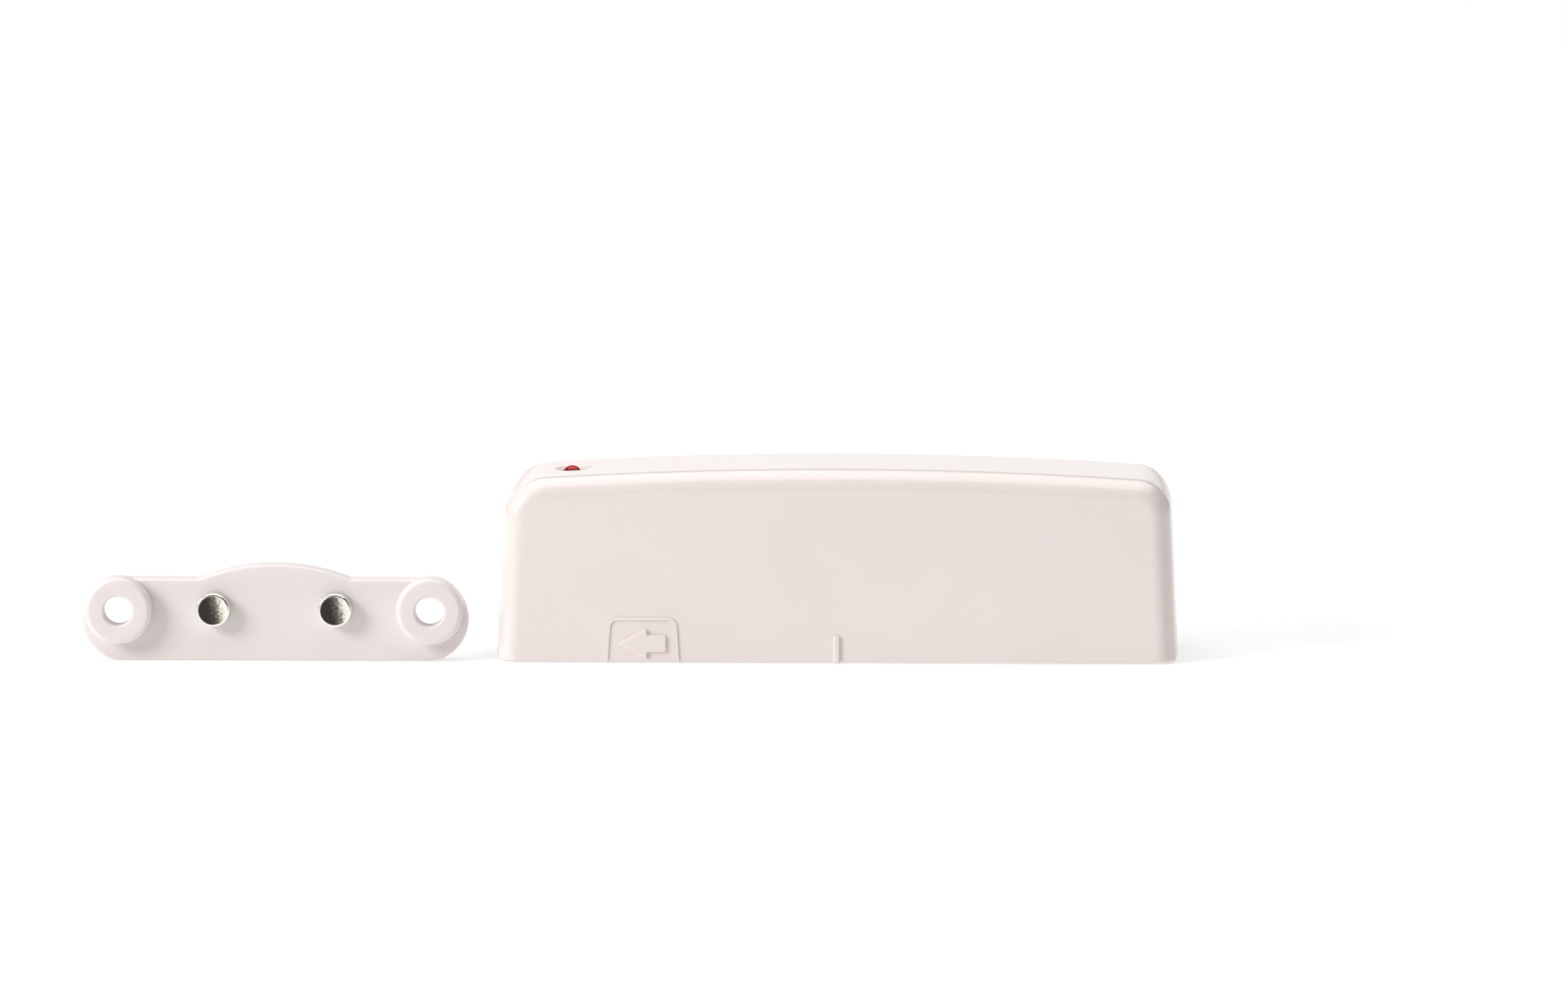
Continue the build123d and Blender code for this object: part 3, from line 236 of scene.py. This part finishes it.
def solder_mask(name, colour, track_colour):
    """Solder mask over copper: a glossy film, a tone lighter where tracks run under it."""
    material, shader = new_material(name, Roughness=0.28, IOR=1.55, Coat_Weight=0.4)
    tree = material.node_tree
    coords = node(tree, "ShaderNodeTexCoord").outputs["Object"]
    tracks = node(tree, "ShaderNodeTexVoronoi", {"Scale": 1 / TRACK_PITCH, "distance": "MANHATTAN",
                                                 "feature": "F2", "Randomness": 0.85}, {"Vector": coords})
    steps = node(tree, "ShaderNodeMath", {"operation": "PINGPONG", 1: TRACK_BAND},
                 {0: tracks.outputs["Distance"]})
    raised = node(tree, "ShaderNodeMapRange", {"From Min": TRACK_EDGE[0], "From Max": TRACK_EDGE[1]},
                  {"Value": steps.outputs["Value"]})
    tint(tree, shader, raised.outputs["Result"], colour, track_colour, 0.2, 0.8)
    bump = node(tree, "ShaderNodeBump", {"Strength": 1.0, "Distance": TRACK_HEIGHT},
                {"Height": raised.outputs["Result"]})
    tree.links.new(bump.outputs["Normal"], shader.inputs["Normal"])
    return material


def shrink_sleeve(name, colour, band_colour, band_low, band_high):
    """Heat-shrunk film on the cell: glossy, faintly puckered, with one printed band round it."""
    material, shader = new_material(name, Roughness=0.22, IOR=1.54, Coat_Weight=0.6, Coat_Roughness=0.08)
    tree = material.node_tree
    coords = node(tree, "ShaderNodeTexCoord").outputs["Object"]
    along = node(tree, "ShaderNodeSeparateXYZ", links={"Vector": coords}).outputs["X"]
    after = node(tree, "ShaderNodeMath", {"operation": "GREATER_THAN", 1: band_low}, {0: along})
    before = node(tree, "ShaderNodeMath", {"operation": "LESS_THAN", 1: band_high}, {0: along})
    band = node(tree, "ShaderNodeMath", {"operation": "MULTIPLY"},
                {0: after.outputs[0], 1: before.outputs[0]})
    tint(tree, shader, band.outputs["Value"], colour, band_colour)
    roughen(tree, shader, coords, 3.0, 40.0)
    return material


# Moulded ABS with a polished skin: warm white, with clear highlights along the rounded edges.
cover_abs = moulded_plastic("ABS_polished_warm_white", "#EBE0DC", "#E8DDD9", 0.24, 0.6, 1.2,
                            Subsurface_Weight=0.12, Subsurface_Radius=(1.0, 0.7, 0.55),
                            Subsurface_Scale=1.5 * MM, Coat_Weight=0.25, Coat_Roughness=0.12)
# Moulded polyamide: cooler and milkier than the cover, so that its edges glow a little.
holder_polyamide = moulded_plastic("polyamide_natural_white", "#E7DFDD", "#E4DCDA", 0.36, 0.5, 1.5,
                                   Subsurface_Weight=0.3, Subsurface_Radius=(1.0, 0.8, 0.75),
                                   Subsurface_Scale=2.0 * MM)
# The back plate is the same ABS with a spark-eroded, matt skin.
plate_abs = moulded_plastic("ABS_textured_white", "#EDE4E0", "#E8DEDA", 0.55, 0.35, 9.0)
# Acetal: waxy and a little yellow.
plunger_acetal = moulded_plastic("acetal_natural", "#EFEBDF", "#E9E4D6", 0.35, 0.4, 2.0,
                                 Subsurface_Weight=0.2, Subsurface_Scale=1.0 * MM)
# Moulded ABS, dyed through: an even, satin red.
button_abs = moulded_plastic("ABS_moulded_red", "#A81E17", "#961A14", 0.38, 0.3, 2.5)
# Glass-filled polyamide: near black, with a dry look from the fibres at its surface.
cradle_polyamide = moulded_plastic("polyamide_glass_filled_black", "#232324", "#1B1B1C", 0.5, 0.25, 8.0)
# The switches' polyamide has no glass in it, and is a little smoother and shinier than the cradle's.
switch_polyamide = moulded_plastic("polyamide_switch_black", "#1F1F20", "#181819", 0.42, 0.3, 4.0)
# Transfer-moulded epoxy: dull charcoal with a fine eroded grain.
chip_epoxy = moulded_plastic("epoxy_moulded_charcoal", "#2B2B2C", "#232324", 0.6, 0.15, 6.0)
# Fired barium titanate, light brown; fired alumina under a black glaze.
capacitor_ceramic = moulded_plastic("ceramic_fired_tan", "#B59A78", "#A68A68", 0.45, 0.2, 3.0)
resistor_glaze = moulded_plastic("ceramic_black_glaze", "#1C1C1E", "#141416", 0.2, 0.3, 1.5)

# Bright nickel with a painted reflection on its face, as nickel_disc says. The spots differ from disc to
# disc, as they follow its place.
left_nickel = nickel_disc("nickel_plate_left", left_disc_low, left_disc_high)
right_nickel = nickel_disc("nickel_plate_right", right_disc_low, right_disc_high)
# Dipped tin: pale and bright, with a soft edge to its reflections.
tin = plated_metal("tin_dipped", "#DAD9D4", "#BDBBB5", 0.26, 0.2, 3.0)
# Solder that has flowed and set: shinier than the tin, as if wet.
solder = plated_metal("solder_reflowed", "#D6D6D3", "#B3B3AF", 0.18, 0.3, 4.0)
# Spring steel, nickelled after it is wound or bent: a warm, even shine.
spring_steel = plated_metal("spring_steel_nickelled", "#CFCBC2", "#ADA89D", 0.24, 0.15, 2.0)
# Nickel-iron with a hard plated skin: a darker grey than the steels.
reed_alloy = plated_metal("nickel_iron_plated", "#B9B6AE", "#9C988F", 0.3, 0.15, 2.0)
# Steel cans, drawn and nickelled: bright, slightly warm, with a few duller patches.
can_steel = plated_metal("steel_drawn_nickelled", "#D3D0C9", "#B7B3AA", 0.22, 0.25, 2.0)
# Pressed tinplate: pale and a little cloudy.
shield_tinplate = plated_metal("tinplate_pressed", "#D5D4CF", "#BFBDB7", 0.3, 0.3, 4.0)
# Zinc plate on steel: cooler and greyer than nickel.
screw_zinc = plated_metal("zinc_plated_steel", "#C9CBCB", "#A5A8A6", 0.3, 0.2, 3.0)
# Drawn aluminium: a neutral pale grey with a soft shine.
can_aluminium = plated_metal("aluminium_drawn", "#D9DADB", "#C2C3C4", 0.32, 0.2, 2.0)
# Copper wire under clear enamel: orange brown and glossy.
enamelled_copper = plated_metal("copper_enamelled", "#C9794A", "#A85C33", 0.25, 0.3, 2.0)

# Printed and cured epoxy over copper: glossy deep green, and a bluer green on the radio board.
board_mask = solder_mask("solder_mask_green", "#0B4A2A", "#176B3F")
radio_mask = solder_mask("solder_mask_blue_green", "#0A3B46", "#14545F")
# Polyvinyl chloride film: deep blue, with its band printed near the positive end.
BAND_IN = 4.5 * MM
BAND_WIDE = 4.5 * MM
cell_low, cell_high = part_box("cell_sleeve")
sleeve_film = shrink_sleeve("PVC_shrink_blue", "#1B3A86", "#E8E9EC",
                            cell_high.x - BAND_IN - BAND_WIDE, cell_high.x - BAND_IN)

# Drawn glass tube, with the green tint that lets it be sealed by infra-red light.
tube_glass, tube_shader = new_material("glass_green_tinted", Base_Color=linear("#CBE6D2"), Roughness=0.04,
                                       Transmission_Weight=0.9, IOR=1.5)
tube_tree = tube_glass.node_tree
roughen(tube_tree, tube_shader, node(tube_tree, "ShaderNodeTexCoord").outputs["Object"], 2.0, 3.0)

# Cast epoxy, dyed red: a clear wet-looking dome, with painted shade that deepens its red towards its rim.
DOME_SHADE_FROM = 0.5 * MM           # from the LED's axis to where the painted shade starts to deepen its red
DOME_SHADE_FULL = 1.45 * MM            # and to where the painted shade is deepest
led_epoxy, led_shader = new_material("epoxy_cast_red", Roughness=0.1, IOR=1.5, Specular_IOR_Level=0.35,
                                     Subsurface_Weight=0.15, Subsurface_Radius=(1.0, 0.1, 0.08),
                                     Subsurface_Scale=0.5 * MM)
led_tree = led_epoxy.node_tree
led_low, led_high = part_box("status_led")
led_coords = node(led_tree, "ShaderNodeTexCoord").outputs["Object"]
led_offset = node(led_tree, "ShaderNodeVectorMath", {"operation": "SUBTRACT", 1: (led_low + led_high) / 2},
                  {0: led_coords})
led_flat = node(led_tree, "ShaderNodeVectorMath", {"operation": "MULTIPLY", 1: (1, 1, 0)},
                {0: led_offset.outputs["Vector"]})
led_reach = node(led_tree, "ShaderNodeVectorMath", {"operation": "LENGTH"}, {0: led_flat.outputs["Vector"]})
led_painted_shade = node(led_tree, "ShaderNodeMapRange", {"From Min": DOME_SHADE_FROM, "From Max": DOME_SHADE_FULL},
                 {"Value": led_reach.outputs["Value"]})
# Painted shade: the dome's red darkens from its axis out to its rim.
tint(led_tree, led_shader, led_painted_shade.outputs["Result"], "#C60A05", "#4E0302", 0.1, 0.9)


def give(material, *node_names):
    """Puts one material on every face of each named CAD piece."""
    for node_name in node_names:
        for slot in nodes[node_name].material_slots:
            slot.material = material


give(cover_abs, "cover")
give(plate_abs, "back_plate")
give(holder_polyamide, "magnet_holder")
give(left_nickel, "magnet_left")
give(right_nickel, "magnet_right")
give(led_epoxy, "status_led")
give(tin, "led_leads", "chip_pins")
give(tube_glass, "reed_glass")
give(reed_alloy, "reed_blades")
give(can_steel, "cell_can", "crystal")
give(sleeve_film, "cell_sleeve")
give(cradle_polyamide, "battery_cradle")
give(spring_steel, "plus_contact", "minus_plate", "minus_spring", "tamper_spring")
give(chip_epoxy, "control_chip")
give(board_mask, "main_board")
give(radio_mask, "radio_board")
give(shield_tinplate, "radio_shield")
give(screw_zinc, "board_screws")
give(enamelled_copper, "antenna")
give(switch_polyamide, "tamper_body", "learn_body")
give(plunger_acetal, "tamper_plunger")
give(button_abs, "learn_button")
give(capacitor_ceramic, "chip_capacitors")
give(resistor_glaze, "chip_resistors")
give(can_aluminium, "reservoir_capacitor")


# ---------------------------------------------------------------- pieces modelled here
def start_circle(radius, place, turned=(0, 0, 0), points=20):
    """A filled circle at its place, open for editing, with everything else deselected."""
    bpy.ops.object.select_all(action="DESELECT")
    bpy.ops.mesh.primitive_circle_add(vertices=points, radius=radius, fill_type="NGON", location=place,
                                      rotation=turned)
    bpy.ops.object.transform_apply(location=True, rotation=True, scale=True)
    bpy.ops.object.mode_set(mode="EDIT")
    bpy.ops.mesh.select_all(action="SELECT")


def close_mesh():
    """Merges doubles, turns every face outwards and leaves edit mode."""
    bpy.ops.mesh.select_all(action="SELECT")
    bpy.ops.mesh.remove_doubles(threshold=MERGE)
    bpy.ops.mesh.normals_make_consistent(inside=False)
    bpy.ops.object.mode_set(mode="OBJECT")


def dress(name, material, smooth_angle=40.0):
    """Names the active piece, smooths it and gives it one material."""
    piece = bpy.context.object
    piece.name = name
    piece.data.name = name
    bpy.ops.object.transform_apply(location=True, rotation=True, scale=True)
    bpy.ops.object.shade_smooth_by_angle(angle=math.radians(smooth_angle))
    piece.data.materials.clear()
    piece.data.materials.append(material)
    return piece


def repeat_at(places, turns=None):
    """Copies the active piece to each place, turned about Z, joins the copies and drops the first."""
    first = bpy.context.object
    bpy.ops.object.select_all(action="DESELECT")
    for place, turn in zip(places, turns or [0] * len(places)):
        copy = first.copy()
        copy.data = first.data.copy()
        copy.location = place
        copy.rotation_euler = (0, 0, turn)
        bpy.context.scene.collection.objects.link(copy)
        copy.select_set(True)
        bpy.context.view_layer.objects.active = copy
    bpy.data.objects.remove(first)
    bpy.ops.object.join()


# Solder joints: a concave cone of solder round each lead that passes through the board.
JOINT_R = 0.95 * MM
JOINT_HIGH = 0.75 * MM
JOINT_TOP_R = 0.33 * MM
JOINT_STEPS = 6
JOINT_SINK = 0.02 * MM           # how far a joint starts inside the board
LEAD_HALF = 0.25 * MM
lead_places = []
for leads in ("led_leads", "reed_blades"):
    leads_low, leads_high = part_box(leads)
    lead_places += [(x, (leads_low.y + leads_high.y) / 2, 0)
                    for x in (leads_low.x + LEAD_HALF, leads_high.x - LEAD_HALF)]


def solder_joints(name, board_face, side):
    """Joints on one face of the board: side is 1 where they stand on it and -1 where they hang from it."""
    start_circle(JOINT_R, (0, 0, board_face - side * JOINT_SINK))
    radius = JOINT_R
    for step in range(1, JOINT_STEPS + 1):
        share = step / JOINT_STEPS
        new_radius = JOINT_TOP_R + (JOINT_R - JOINT_TOP_R) * (1 - share) ** 2
        rise = JOINT_HIGH * (share ** 2 - (share - 1 / JOINT_STEPS) ** 2)
        shrink = new_radius / radius
        bpy.ops.mesh.extrude_region()
        bpy.ops.transform.translate(value=(0, 0, side * rise))
        bpy.ops.transform.resize(value=(shrink, shrink, 1), center_override=(0, 0, 0))
        radius = new_radius
    close_mesh()
    repeat_at(lead_places)
    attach(dress(name, solder), "sensor")


solder_joints("solder_joints_above", board_high.z, 1)
solder_joints("solder_joints_below", board_low.z, -1)


LOWEST, HIGHEST = 0, 6           # places of those two corners in an object's bound_box


def separate_boxes(node_name):
    """The box of each separate solid in a CAD node, measured on a merged copy that is then dropped."""
    bpy.ops.object.select_all(action="DESELECT")
    copy = bpy.data.objects.new("measured", nodes[node_name].data.copy())
    bpy.context.scene.collection.objects.link(copy)
    copy.select_set(True)
    bpy.context.view_layer.objects.active = copy
    bpy.ops.object.mode_set(mode="EDIT")
    bpy.ops.mesh.select_all(action="SELECT")
    bpy.ops.mesh.remove_doubles(threshold=MERGE)
    bpy.ops.mesh.separate(type="LOOSE")
    bpy.ops.object.mode_set(mode="OBJECT")
    boxes = []
    for solid in list(bpy.context.selected_objects):
        corners = [Vector(corner) for corner in solid.bound_box]
        boxes.append((corners[LOWEST], corners[HIGHEST]))
        bpy.data.objects.remove(solid)
    return boxes


# Tinned end caps on the chip parts: each wraps an end of a part and stands a hair proud of it.
CAP_PROUD = 0.02 * MM
CAP_SHARE = 0.22                 # of the part's length
CAP_ROUND = 0.05 * MM


def end_caps(name, part_node):
    """One cap is shaped on the first part's end; its copies go to both ends of every part."""
    boxes = separate_boxes(part_node)
    moves = []
    for low, high in boxes:
        size = high - low
        along = 0 if size.x > size.y else 1
        cap = size[along] * CAP_SHARE
        for end in (low[along] - CAP_PROUD + cap / 2, high[along] + CAP_PROUD - cap / 2):
            place = (low + high) / 2
            place[along] = end
            moves.append((place, along))
    low, high = boxes[0]
    length, width, height = max((high - low).xy), min((high - low).xy), (high - low).z
    bpy.ops.object.select_all(action="DESELECT")
    bpy.ops.mesh.primitive_cube_add(size=1.0, scale=(length * CAP_SHARE, width + 2 * CAP_PROUD,
                                                     height + 2 * CAP_PROUD))
    bpy.ops.object.transform_apply(location=True, rotation=True, scale=True)
    bpy.ops.object.mode_set(mode="EDIT")
    bpy.ops.mesh.select_all(action="SELECT")
    bpy.ops.mesh.bevel(offset=CAP_ROUND, segments=2)
    close_mesh()
    repeat_at([place for place, along in moves], [along * math.pi / 2 for place, along in moves])
    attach(dress(name, tin, smooth_angle=60.0), "sensor")


end_caps("capacitor_end_caps", "chip_capacitors")
end_caps("resistor_end_caps", "chip_resistors")

# The tamper spring stretches as its plunger drops; a coil wound here stands for the CAD spring, which is
# hidden.
SPRING_WIRE_R = 0.18 * MM
SPRING_TURNS = 3.5
STEPS_PER_TURN = 24
spring_low, spring_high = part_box("tamper_spring")
spring_axis = (spring_low + spring_high) / 2
spring_centre = (spring_axis.x, spring_axis.y, 0)
spring_steps = round(SPRING_TURNS * STEPS_PER_TURN)
spring_rise = (spring_high.z - spring_low.z - 2 * SPRING_WIRE_R) / spring_steps
start_circle(SPRING_WIRE_R, (spring_high.x - SPRING_WIRE_R, spring_axis.y, spring_low.z + SPRING_WIRE_R),
             turned=(math.pi / 2, 0, 0), points=10)
for step in range(spring_steps):
    bpy.ops.mesh.extrude_region()
    bpy.ops.transform.rotate(value=math.tau / STEPS_PER_TURN, orient_axis="Z", center_override=spring_centre)
    bpy.ops.transform.translate(value=(0, 0, spring_rise))
close_mesh()
tamper_coil = dress("tamper_coil", spring_steel)
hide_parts("tamper_spring")
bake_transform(tamper_coil)

# ---------------------------------------------------------------- floor, light and camera
bpy.ops.object.select_all(action="DESELECT")
bpy.ops.mesh.primitive_plane_add(size=FLOOR_SIZE, location=(0, 0, cad_low.z - FLOOR_GAP))
floor = bpy.context.object
floor.name = "studio_floor"
# An opal acrylic table lit from below: its own glow fills the shadow along the object's foot.
floor_acrylic, floor_shader = new_material("acrylic_opal_lit", Base_Color=linear(FLOOR_TONE), Roughness=0.95,
                                         Emission_Color=(1, 1, 1, 1), Emission_Strength=FLOOR_GLOW)
floor.data.materials.append(floor_acrylic)

world = bpy.data.worlds.new("studio")
bpy.context.scene.world = world
world.use_nodes = True
world.node_tree.nodes["Background"].inputs["Color"].default_value = (1.0, 1.0, 1.0, 1.0)
world.node_tree.nodes["Background"].inputs["Strength"].default_value = SKY
bpy.context.scene.view_settings.view_transform = "Standard"


def soft_light(name, place, width, height, power):
    """A rectangular soft light at a place, turned to face the object."""
    light = bpy.data.lights.new(name, "AREA")
    light.shape = "RECTANGLE"
    light.size = width
    light.size_y = height
    light.energy = power
    lamp = bpy.data.objects.new(name, light)
    bpy.context.scene.collection.objects.link(lamp)
    lamp.location = place
    lamp.visible_camera = False
    lamp.rotation_euler = (Vector(LIGHTS_AIM) - Vector(place)).to_track_quat("-Z", "Y").to_euler()


soft_light("overhead_light", (0.0, 0.2, 2.2), 3.0, 3.0, OVERHEAD_POWER)
soft_light("key_light", (-1.25, -0.72, 0.72), 0.6, 0.6, KEY_POWER)
soft_light("back_light", (0.0, 2.4, 0.45), 3.0, 0.7, BACK_POWER)

tilt = math.radians(VIEW_TILT)
turn = math.radians(VIEW_TURN)
aim = Vector((sensor_middle_x - VIEW_LEFT, 0, VIEW_HEIGHT))
away = Vector((math.sin(turn) * math.cos(tilt), -math.cos(turn) * math.cos(tilt), math.sin(tilt)))
camera_data = bpy.data.cameras.new("camera")
camera_data.sensor_width = CAMERA_BACK
camera_data.lens = CAMERA_BACK * VIEW_DISTANCE / VIEW_WIDTH
camera_data.clip_end = 20.0
camera = bpy.data.objects.new("camera", camera_data)
bpy.context.scene.collection.objects.link(camera)
camera.location = aim + away * VIEW_DISTANCE
camera.rotation_euler = (-away).to_track_quat("-Z", "Y").to_euler()
bpy.context.scene.camera = camera
